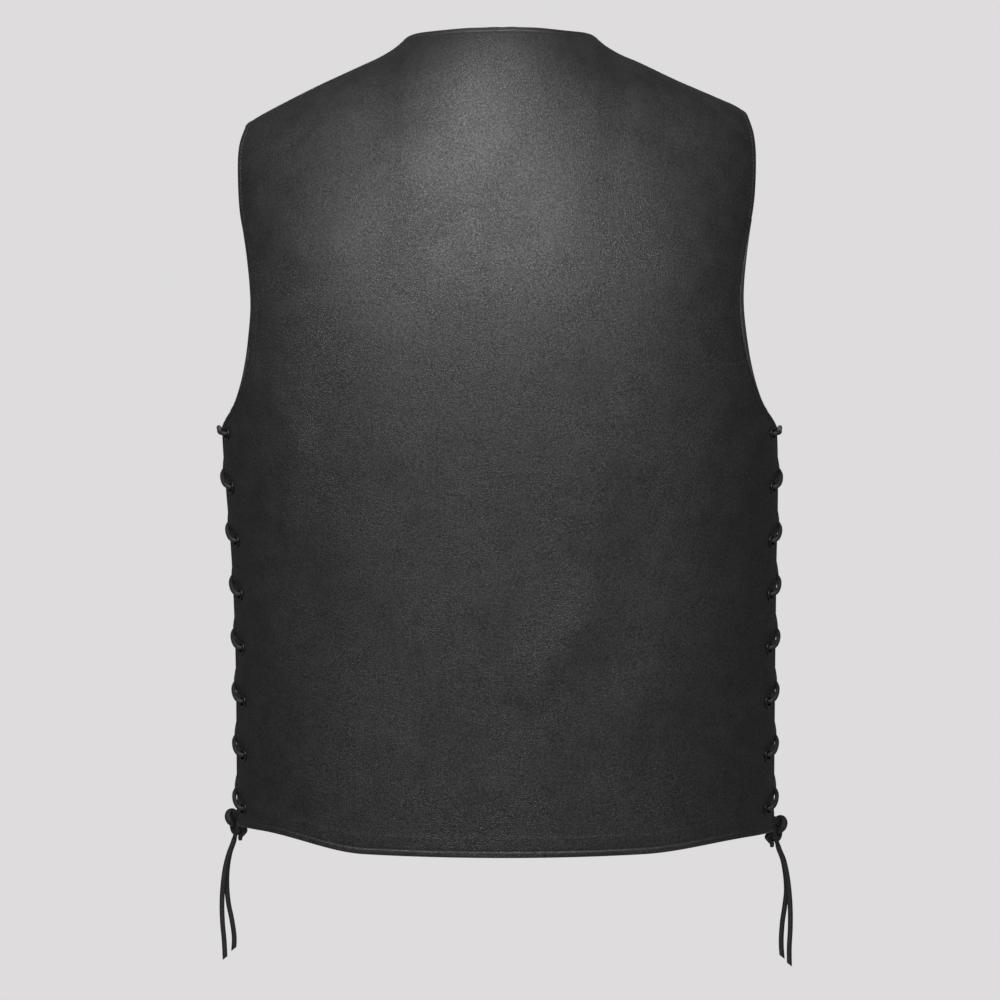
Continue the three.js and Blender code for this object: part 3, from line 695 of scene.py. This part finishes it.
def knot(name):
    side = SIDES[name]
    middle = knot_middle(name)
    turns = []
    steps = 110
    for i in range(steps):
        a = 2 * math.pi * i / steps
        turns.append(middle + Vector((
            side * KNOT_REACH * 0.82 * (math.sin(a) + 1.55 * math.sin(2 * a)),
            KNOT_WEAVE * math.sin(3 * a),
            KNOT_REACH * (math.cos(a) - 1.9 * math.cos(2 * a)),
        )))
    parts = [tube(turns, lambda i: KNOT_THICKNESS / 2, TUBE_SIDES, closed=True)]
    for sign in (1, -1):
        ends = [middle + knot_entry(side, sign, distance) for distance in (1.5, 6, KNOT_STUB + 0.1)]
        parts.append(tube(ends, lambda i: LACE / 2, TUBE_SIDES))
    for which in ("outer", "inner"):
        start, after = (Vector((side * a, b, -c)) for a, b, c in FREE_ENDS[name, which][:2])
        away = (after - start).normalized()
        ends = [middle + start + away * distance for distance in (-STUB_LENGTH, -4, -0.1)]
        parts.append(tube(ends, lambda i: LACE / 2 * TUBE_SHARE, TUBE_SIDES))
    bight = [middle + Vector((-side * inside, behind, -below)) for inside, behind, below in KNOT_BIGHT]
    bight = rounded(bight, 5)
    last = len(bight) - 1
    parts.append(tube(bight, lambda i: BIGHT_THICKNESS / 2 * (1 - 0.4 * (i / last) ** 5), TUBE_SIDES))
    piece = mesh_object(f"{name}_knot", *joined(parts), [lace_leather])
    return finished(piece, "lace_leather", f"knot_{name}")


# The held laces
def eyelet_turn(side, sheet, k, inbound, outbound):
    sign = OUTWARD[sheet]
    diagonal = math.sqrt(0.5)

    def at(way, share, out):
        around, up = way
        place = (side, sign * (EYELET_DEPTH + around * share), eyelet_height(k) + up * share, 0.1 + out)
        return side_place(*place)[0]

    r = LOOP_RADIUS
    return [
        at(inbound, r, r), at(inbound, r * (1 - diagonal), r * diagonal), at(inbound, 0, 0),
        at(outbound, r * (1 - diagonal), -r * diagonal), at(outbound, r, -r),
    ]


def strand(side, first, over):
    slant = math.atan2(EYELET_PITCH, 2 * EYELET_DEPTH)
    down = (-math.cos(slant), -math.sin(slant))
    above = (-math.cos(slant), math.sin(slant))
    points = []
    for k in range(EYELET_COUNT):
        sheet = "back" if (k % 2 == 0) == (first == "back") else "front"
        sign = OUTWARD[sheet]
        last = k == EYELET_COUNT - 1
        inbound = (-0.98, 0.2) if k == 0 else above
        points += eyelet_turn(side, sheet, k, inbound, (-0.8, -0.6) if last else down)
        if last:
            break
        edge_share = (EYELET_DEPTH - SIDE_GAP_HALF) / (2 * EYELET_DEPTH)
        crossing = CROSSING_OFFSET if (k % 2 == 0) == over else -CROSSING_OFFSET
        for around, share, out in (
            (sign * SIDE_GAP_HALF, edge_share, -EDGE_CLEARANCE),
            (0, 0.5, crossing - CROSSING_INWARD),
            (-sign * SIDE_GAP_HALF, 1 - edge_share, EDGE_CLEARANCE),
        ):
            points.append(side_place(side, around, eyelet_height(k) - share * EYELET_PITCH, out)[0])
    return points


def lacing(name):
    side = SIDES[name]
    middle = knot_middle(name)
    last = EYELET_COUNT - 1

    def run_to_knot(sign):
        return [
            side_place(side, sign * SIDE_GAP_HALF, eyelet_height(last) - 5.5, -4.2)[0],
            middle + knot_entry(side, sign, KNOT_STUB + 4),
            middle + knot_entry(side, sign, KNOT_STUB + 0.2),
        ]

    bar = [
        side_place(side, SIDE_GAP_HALF, TOP_EYELET + 3.4, EDGE_CLEARANCE + 0.4)[0],
        side_place(side, 0, TOP_EYELET + 6, 3.2)[0],
        side_place(side, -SIDE_GAP_HALF, TOP_EYELET + 3.4, EDGE_CLEARANCE + 0.4)[0],
    ]
    points = run_to_knot(-1)[::-1] + strand(side, "back", True)[::-1] + bar
    points += strand(side, "front", False) + run_to_knot(1)
    route = rounded(points, 5)
    cord = tube(route, lambda i: LACE / 2 * TUBE_SHARE, TUBE_SIDES)
    piece = mesh_object(f"{name}_lacing", *cord, [lace_leather])
    return finished(piece, "lace_leather", f"lace_{name}")


EYELET_PROFILE = [
    (3.2, -1.35), (3.2, 1.5), (3.3, 1.85), (3.6, 2.12), (4.05, 2.22), (4.6, 2.05), (5.05, 1.65), (5.3, 1.15),
    (5.2, 0.98), (3.85, 0.98), (3.85, -1.4), (3.5, -1.5),
]


def eyelets(name, sheet):
    places = [eyelet_place(SIDES[name], sheet, k) for k in range(EYELET_COUNT)]
    parts = [lathe(EYELET_PROFILE[::-1], 28, place) for place in places]
    piece = mesh_object(f"{name}_eyelets_{sheet}", *joined(parts), [black_metal])
    nodes = [f"eyelet_{name}_{sheet}_{k + 1}" for k in range(EYELET_COUNT)]
    return finished(piece, "black_metal", *nodes)


for name in SIDES:
    knot(name)
    lacing(name)
    for sheet in OUTWARD:
        eyelets(name, sheet)


# Press studs
def front_place(side, z, lift):
    step = 2

    def at(x, height):
        return lifted(*sheet_point("front", x, height), side, lift)

    across = at(step, z) - at(-step, z)
    rising = at(0, z + step) - at(0, z - step)
    return at(0, z), across.cross(rising).normalized()


CAP_PROFILE = [
    (0, 3.6), (2.6, 3.5), (4.9, 3.1), (6.4, 2.45), (7.1, 1.8), (7.4, 1.3), (7.2, 0.98), (2, 0.95), (2, -1.3),
    (4.1, -1.35), (4.2, -1.8), (3.9, -2.25), (0, -2.3),
]
STUD_PROFILE = [
    (0, 1.95), (3, 1.95), (3.5, 1.85), (3.8, 1.5), (3.6, 1.2), (2, 1.0), (2, -0.98), (4.4, -1.0), (4.6, -1.3),
    (4.2, -1.9), (2.2, -2.1), (0, -2.15),
]
for i, z in enumerate(SNAP_HEIGHTS):
    cap = lathe(CAP_PROFILE[::-1], 40, front_place(1, z, OVERLAP_LIFT))
    finished(mesh_object(f"press_cap_{i + 1}", *cap, [black_metal]), "black_metal", f"snap_cap_{i + 1}")
    stud = lathe(STUD_PROFILE[::-1], 32, front_place(-1, z, 0))
    finished(mesh_object(f"press_stud_{i + 1}", *stud, [black_metal]), "black_metal", f"snap_stud_{i + 1}")


# Soft creases as lines of (x, z) with a half-width and a height, outwards where positive
CREASES = {
    "back": [
        ([(-8, -530), (-45, -478), (-82, -430)], 17, 1.5),
        ([(-70, -540), (-92, -480), (-104, -400), (-112, -300)], 22, -1.3),
        ([(128, -215), (146, -320), (158, -430), (150, -520)], 19, -1.2),
        ([(95, -260), (108, -380), (112, -480)], 26, 0.9),
        ([(60, -575), (92, -548), (128, -560)], 13, 0.7),
        ([(192, -150), (150, -168), (110, -160)], 15, 0.8),
        ([(-190, -165), (-150, -186), (-112, -180)], 15, 0.8),
        ([(185, -95), (120, -80), (80, -50)], 18, -0.8),
        ([(-185, -90), (-120, -74), (-80, -46)], 18, -0.8),
        ([(196, -262), (170, -300), (150, -352)], 13, 0.8),
        ([(-196, -262), (-170, -300), (-146, -356)], 13, 0.8),
        ([(-30, -598), (20, -590), (70, -602)], 14, 0.5),
    ],
    "left": [
        ([(190, -240), (140, -285), (80, -300)], 13, 1.3),
        ([(196, -270), (150, -330), (90, -352)], 14, -1.1),
        ([(60, -250), (38, -300), (36, -350)], 14, 0.9),
        ([(70, -420), (120, -470), (170, -480)], 16, 1.0),
        ([(40, -560), (90, -530), (140, -560)], 15, -0.8),
        ([(160, -100), (140, -160), (146, -230)], 15, -1.0),
    ],
    "right": [
        ([(-190, -240), (-142, -280), (-90, -306)], 13, 1.2),
        ([(-196, -275), (-150, -340), (-96, -360)], 14, -1.1),
        ([(-58, -255), (-40, -310), (-42, -360)], 14, 0.9),
        ([(-66, -430), (-118, -462), (-172, -490)], 16, 1.0),
        ([(-50, -565), (-96, -540), (-150, -548)], 15, -0.8),
        ([(-160, -104), (-144, -170), (-148, -236)], 15, -1.0),
    ],
}


def distance_to_line(line, x, z):
    """Distance to a line, and the share along it of the nearest point."""
    best = (1e9, 0)
    pieces = len(line) - 1
    for i in range(pieces):
        (ax, az), (bx, bz) = line[i], line[i + 1]
        dx, dz = bx - ax, bz - az
        t = clamp(((x - ax) * dx + (z - az) * dz) / (dx * dx + dz * dz), 0, 1)
        best = min(best, (math.hypot(x - ax - t * dx, z - az - t * dz), (i + t) / pieces))
    return best


def relief(sheet, point, to_side):
    """How far a place stands out for creases, slow waves and the pull of the lace at the eyelets."""
    total = 0
    for line, width, height in CREASES[sheet]:
        distance, share = distance_to_line(line, point.x, point.z)
        if distance < 3 * width:
            ends = smoothstep(share, -0.05, 0.3) * (1 - smoothstep(share, 0.7, 1.05))
            total += height * math.exp(-((distance / width) ** 2)) * ends
    total += 0.9 * noise.noise(Vector((point.x / 75, point.y / 75, point.z / 95)))
    if point.z < CHEST + 12 and to_side < 70:
        k = (TOP_EYELET - point.z) / EYELET_PITCH
        off = abs(k - round(clamp(k, 0, EYELET_COUNT - 1))) * EYELET_PITCH
        beside = math.hypot(to_side - (EYELET_DEPTH - SIDE_GAP_HALF), off)
        pull = 0.9 * math.exp(-((off / 6) ** 2)) - 0.45 * math.exp(-(((off - 19) / 8) ** 2))
        reach = smoothstep(to_side, 18, 28) * (1 - smoothstep(to_side, 32, 68))
        total += pull * reach
        total *= smoothstep(beside, 5.5, 13)
    return total


class Edge:
    """A line of points round a panel, and how far other points are from it."""

    def __init__(self, lines):
        self.points = [point for line in lines for point in line]
        self.follows = []
        for line in lines:
            self.follows += [True] * (len(line) - 1) + [False]
        self.tree = kdtree.KDTree(max(len(self.points), 1))
        for i, point in enumerate(self.points):
            self.tree.insert(point, i)
        self.tree.balance()

    def distance(self, point):
        if not self.points:
            return 1e3
        near, i, best = self.tree.find(point)
        if best > 40:
            return best
        for a in (i - 1, i):
            if 0 <= a < len(self.points) - 1 and self.follows[a]:
                start, along_it = self.points[a], self.points[a + 1] - self.points[a]
                t = clamp((point - start).dot(along_it) / max(along_it.length_squared, 1e-9), 0, 1)
                best = min(best, (point - start - along_it * t).length)
        return best


def placed(curve, low, high, from_low, from_high, spacing):
    """Parameters from low to high: at given distances along the curve from both ends, evenly between."""
    count = 600
    values = [lerp(low, high, i / count) for i in range(count + 1)]
    points = [curve(value) for value in values]
    lengths = [0]
    for a, b in zip(points, points[1:]):
        lengths.append(lengths[-1] + (b - a).length)
    total = lengths[-1]
    start, end = from_low[-1], total - from_high[-1]
    between = max(round((end - start) / spacing), 1)
    wanted = list(from_low) + [lerp(start, end, i / between) for i in range(1, between)]
    wanted += [total - distance for distance in reversed(from_high)]
    result = []
    i = 0
    for distance in wanted:
        while i < count - 1 and lengths[i + 1] < distance:
            i += 1
        share = (distance - lengths[i]) / max(lengths[i + 1] - lengths[i], 1e-9)
        result.append(lerp(values[i], values[i + 1], clamp(share, 0, 1)))
    result[0], result[-1] = low, high
    return result


def edge_profile(distance):
    """How the outer face of a turned and topstitched edge stands out from the plain wall."""
    roll = -(WALL / 2 - EDGE_HALF) * (1 - min(distance / ROLL, 1)) ** 2
    band = BAND_LIFT * (1 - smoothstep(distance, BAND, BAND + 0.7))
    groove = -GROOVE * math.exp(-(((distance - STITCH_INSET) / GROOVE_WIDTH) ** 2))
    return roll + band + groove


def inner_profile(distance):
    roll = -(WALL / 2 - EDGE_HALF) * (1 - min(distance / ROLL, 1)) ** 2
    groove = -0.2 * math.exp(-(((distance - STITCH_INSET) / GROOVE_WIDTH) ** 2))
    return roll + groove


def panel(name, sheet, surface, columns, rows, facing, top_is_neck, holes):
    """A panel as a fine closed wall with turned edges, creases and holes. facing is 1 where across runs so
    that its cross product with up points out."""
    across_count, up_count = len(columns), len(rows)
    middle = [[surface(a, u) for a in columns] for u in rows]
    hem = Edge([middle[0]])
    first_side = [row[0] for row in middle]
    last_side = [row[-1] for row in middle]
    top = middle[-1]
    neck = [i for i, a in enumerate(columns) if top_is_neck(a)]
    neck_line = [top[i] for i in neck]
    seam_lines = [top] if not neck else [top[: neck[0] + 1], top[neck[-1]:]]
    edges = Edge([middle[0], first_side, last_side] + ([neck_line] if neck else []))
    seams = Edge(seam_lines)
    chest_row = sum(1 for u in rows if u <= 1)
    laced = Edge([last_side[:chest_row]] + ([first_side[:chest_row]] if sheet == "back" else []))
    outer = []
    inner = []
    wear = []
    for j in range(up_count):
        for i in range(across_count):
            point = middle[j][i]
            right = middle[j][min(i + 1, across_count - 1)] - middle[j][max(i - 1, 0)]
            above = middle[min(j + 1, up_count - 1)][i] - middle[max(j - 1, 0)][i]
            normal = right.cross(above).normalized() * facing
            to_edge = edges.distance(point)
            to_seam = seams.distance(point)
            to_hem = hem.distance(point)
            out = relief(sheet, point, laced.distance(point))
            face = WALL / 2 + edge_profile(to_edge) - 0.5 * (1 - smoothstep(to_seam, 0, 2.6))
            face += 0.25 * (1 - smoothstep(to_hem, HEM_TURNED_IN - 1.6, HEM_TURNED_IN + 1.2))
            back = WALL / 2 + inner_profile(to_edge)
            if to_seam > 3:
                back += 0.6 * (1 - smoothstep(to_edge, TURNED_IN - 0.6, TURNED_IN + 0.6))
                back += 0.3 * (1 - smoothstep(to_hem, HEM_TURNED_IN - 0.6, HEM_TURNED_IN + 0.6))
            outer.append(point + normal * (out + face))
            inner.append(point + normal * (out - back))
            wear.append(math.exp(-to_edge / 2.4))
    count = across_count * up_count
    removed = set()
    for j in range(up_count - 1):
        for i in range(across_count - 1):
            corners = (middle[j][i], middle[j][i + 1], middle[j + 1][i], middle[j + 1][i + 1])
            centre = (corners[0] + corners[1] + corners[2] + corners[3]) / 4
            for (at, axis), radius in holes:
                away = centre - at
                if away.length < 9 and (away - axis * away.dot(axis)).length < radius * 0.92:
                    removed.add((j, i))
    kept = [(j, i) for j in range(up_count - 1) for i in range(across_count - 1) if (j, i) not in removed]
    rim = {
        (j + above) * across_count + i + right for j, i in removed for above in (0, 1) for right in (0, 1)
    }
    for v in rim:
        for (at, axis), radius in holes:
            if (outer[v] - at).length < 12:
                for side in (outer, inner):
                    away = side[v] - at
                    height = away.dot(axis)
                    sideways = away - axis * height
                    side[v] = at + axis * height + sideways.normalized() * radius
    faces = []
    bounds = {}
    for j, i in kept:
        a = j * across_count + i
        face = (a, a + 1, a + 1 + across_count, a + across_count)
        if facing < 0:
            face = face[::-1]
        faces.append(face)
        for k in range(4):
            bounds[face[k], face[(k + 1) % 4]] = True
    outside = len(faces)
    rims = []
    for a, b in bounds:
        if (b, a) not in bounds:
            rims.append((b, a, a + count, b + count))
    inside = [tuple(v + count for v in reversed(face)) for face in faces]
    piece = mesh_object(name, outer + inner, faces + rims + inside, [leather, flesh_side])
    indices = [0] * (outside + len(rims)) + [1] * len(inside)
    piece.data.polygons.foreach_set("material_index", indices)
    mark = piece.data.attributes.new("wear", "FLOAT", "POINT")
    mark.data.foreach_set("value", wear + wear)
    return piece, edges, laced


def normal_at(surface, across, up, low, high, facing):
    step = 0.002
    right = surface(min(across + step, high), up) - surface(max(across - step, low), up)
    above = surface(across, min(up + step, 2)) - surface(across, max(up - step, 0))
    return right.cross(above).normalized() * facing


def inset_line(surface, starts, inward, distance_from):
    """Parameters at the stitch line's distance inside an edge, for each start parameter."""
    line = []
    for across, up in starts:
        step = 0.01
        for attempt in range(3):
            a, u = across + inward[0] * step, up + inward[1] * step
            distance = distance_from(surface(a, u))
            step *= clamp(STITCH_INSET / max(distance, 1e-3), 0.2, 6)
        line.append((across + inward[0] * step, up + inward[1] * step))
    return line


def stitches(surface, line, sheet, low, facing, edges, laced):
    """Short lengths of thread along a line of parameters, sunk into their groove at both ends."""
    parts = []
    points = [surface(a, u) for a, u in line]
    lengths = [(b - a).length for a, b in zip(points, points[1:])]
    total = sum(lengths)
    starts = [0]
    for length in lengths:
        starts.append(starts[-1] + length)

    def at(distance):
        k = 0
        while k < len(lengths) - 1 and starts[k + 1] < distance:
            k += 1
        share = clamp((distance - starts[k]) / max(lengths[k], 1e-6), 0, 1)
        return lerp(line[k][0], line[k + 1][0], share), lerp(line[k][1], line[k + 1][1], share)

    count = int(total / STITCH_PITCH)
    for i in range(count):
        begin = i * STITCH_PITCH + 0.3
        route = []
        for share, sink in ((0, 0.42), (0.14, 0.1), (0.5, -0.02), (0.86, 0.1), (1, 0.42)):
            a, u = at(begin + STITCH_LENGTH * share)
            point = surface(a, u)
            normal = normal_at(surface, a, u, low, 1, facing)
            out = relief(sheet, point, laced.distance(point))
            level = WALL / 2 + edge_profile(STITCH_INSET) + THREAD_RADIUS * 0.7
            route.append(point + normal * (out + level - sink))
        if edges.distance(route[2]) > STITCH_INSET - 0.9:
            parts.append(tube(route, lambda k: THREAD_RADIUS * (0.6 if k in (0, 4) else 1), 6))
    return parts


def stitched(name, sheet, surface, columns, rows, facing, edges, laced, top_is_neck):
    low = columns[0]
    parts = []

    def add(starts, inward):
        parts.extend(stitches(
            surface, inset_line(surface, starts, inward, edges.distance), sheet, low, facing, edges, laced,
        ))

    fine_rows = rows[CORNER_ROWS:-CORNER_ROWS]
    fine_columns = columns[CORNER_ROWS:-CORNER_ROWS]
    add([(a, 0) for a in fine_columns], (0, 1))
    add([(1, u) for u in fine_rows], (-1, 0))
    add([(low, u) for u in fine_rows], (1, 0))
    neck = [a for a in columns if top_is_neck(a)]
    if neck:
        add([(a, 2) for a in neck], (0, -1))
    piece = mesh_object(name, *joined(parts), [thread])
    return finished(piece, None)


def never(across):
    return False


def on_neck(across):
    return abs(across) <= NECK_SHARE + 1e-6


eyelet_holes = {
    (name, sheet): [(eyelet_place(side, sheet, k), HOLE_RADIUS) for k in range(EYELET_COUNT)]
    for name, side in SIDES.items() for sheet in OUTWARD
}


def make_back():
    half = placed(lambda a: back_point(a, 0.5), 0, 1, [0], LACED_COLUMNS, COLUMN_STEP)
    half = sorted(set(half) | {NECK_SHARE})
    columns = [-a for a in reversed(half[1:])] + half
    low_rows = placed(lambda u: back_point(0.9, u), 0, 1, HEM_ROWS, [0], ROW_STEP)
    high_rows = placed(lambda u: back_point(0.5, u), 1, 2, [0], EDGE_ROWS, ROW_STEP)
    rows = low_rows + high_rows[1:]
    holes = eyelet_holes["left", "back"] + eyelet_holes["right", "back"]
    piece, edges, laced = panel("back_leather", "back", back_point, columns, rows, 1, on_neck, holes)
    finished(piece, "leather", "back_panel")
    sewing = stitched("back_stitching", "back", back_point, columns, rows, 1, edges, laced, on_neck)
    return piece


def make_front(name):
    side = SIDES[name]
    lift = OVERLAP_LIFT if name == "left" else 0

    def surface(across, up):
        return front_point(side, across, up, lift)

    columns = placed(lambda a: surface(a, 0.5), 0, 1, EDGE_ROWS, LACED_COLUMNS, COLUMN_STEP)
    low_rows = placed(lambda u: surface(0.9, u), 0, 1, HEM_ROWS, [0], ROW_STEP)
    high_rows = placed(lambda u: surface(0.5, u), 1, 2, [0], EDGE_ROWS, ROW_STEP)
    rows = low_rows + high_rows[1:]
    snap_holes = [(front_place(side, z, lift), SNAP_HOLE_RADIUS) for z in SNAP_HEIGHTS]
    holes = eyelet_holes[name, "front"] + snap_holes
    piece, edges, laced = panel(f"{name}_front_leather", name, surface, columns, rows, side, never, holes)
    finished(piece, "leather", f"front_{name}")
    sewing = stitched(f"{name}_front_stitching", name, surface, columns, rows, side, edges, laced, never)
    return piece


make_back()
for name in SIDES:
    make_front(name)


# Floor, light and background
def floor():
    angles = [2 * math.pi * k / FLOOR_SIDES for k in range(FLOOR_SIDES)]
    points = [Vector((FLOOR_RADIUS * math.cos(a), FLOOR_RADIUS * math.sin(a), FLOOR_HEIGHT)) for a in angles]
    material, nodes, links, shader = new_material("floor")
    place = nodes.new("ShaderNodeTexCoord").outputs["Object"]
    cloud = texture(nodes, links, "ShaderNodeTexNoise", place, Scale=3.0, Detail=3.0)
    colour = ramp(nodes, links, cloud.outputs["Fac"], [(0.3, (0.7, 0.695, 0.7)), (0.7, (0.76, 0.755, 0.76))])
    links.new(colour.outputs["Color"], shader.inputs["Base Color"])
    shader.inputs["Roughness"].default_value = 0.9
    mesh_object("floor", points, [tuple(range(FLOOR_SIDES))], [material])


def area_light(name, place, target, width, height, power):
    data = bpy.data.lights.new(name, "AREA")
    data.shape = "RECTANGLE"
    data.size = width
    data.size_y = height
    data.energy = power
    light = bpy.data.objects.new(name, data)
    light.location = place
    light.rotation_euler = (Vector(target) - Vector(place)).to_track_quat("-Z", "Y").to_euler()
    bpy.context.scene.collection.objects.link(light)


floor()
for light in LIGHTS:
    area_light(*light)

world = bpy.data.worlds.new("world")
bpy.context.scene.world = world
world.use_nodes = True
nodes, links = world.node_tree.nodes, world.node_tree.links
nodes.clear()
seen = nodes.new("ShaderNodeBackground")
seen.inputs["Color"].default_value = SEEN_COLOUR
lighting = nodes.new("ShaderNodeBackground")
lighting.inputs["Color"].default_value = AMBIENT_COLOUR
lighting.inputs["Strength"].default_value = AMBIENT_STRENGTH
ray = nodes.new("ShaderNodeLightPath")
mix = nodes.new("ShaderNodeMixShader")
output = nodes.new("ShaderNodeOutputWorld")
links.new(ray.outputs["Is Camera Ray"], mix.inputs["Fac"])
links.new(lighting.outputs[0], mix.inputs[1])
links.new(seen.outputs[0], mix.inputs[2])
links.new(mix.outputs[0], output.inputs["Surface"])
bpy.context.scene.view_settings.view_transform = "Standard"
